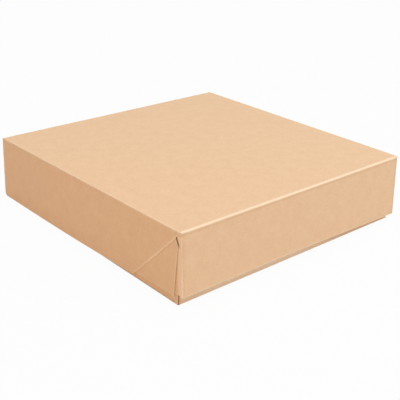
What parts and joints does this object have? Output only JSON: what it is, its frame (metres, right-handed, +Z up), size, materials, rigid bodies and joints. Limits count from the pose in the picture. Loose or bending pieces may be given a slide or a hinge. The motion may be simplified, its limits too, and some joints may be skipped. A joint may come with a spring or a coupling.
{
  "type": "sushi box",
  "caption": "Flat square kraft paperboard food box: a glued tray and a full-depth lid hinged along its back edge, standing slightly ajar.",
  "frame": {"origin": "middle of the tray's underside", "axes": "+Z up, the front wall faces -Y, the hinge fold runs along X at the back, +Y"},
  "size_m": [0.2284, 0.2265, 0.0543],
  "materials": {
    "tray_board": "unprinted kraft paperboard, matt",
    "lid_board": "unprinted kraft paperboard, matt"
  },
  "bodies": {
    "tray": {"tray": "tray_board"},
    "lid": {"lid": "lid_board"}
  },
  "joints": [
    {"name": "lid_hinge", "type": "hinge", "parent": "tray", "child": "lid", "pos_m": [0, 0.1105, 0.0497], "axis": [-1, 0, 0], "range_deg": [-1.1, 180]}
  ]
}
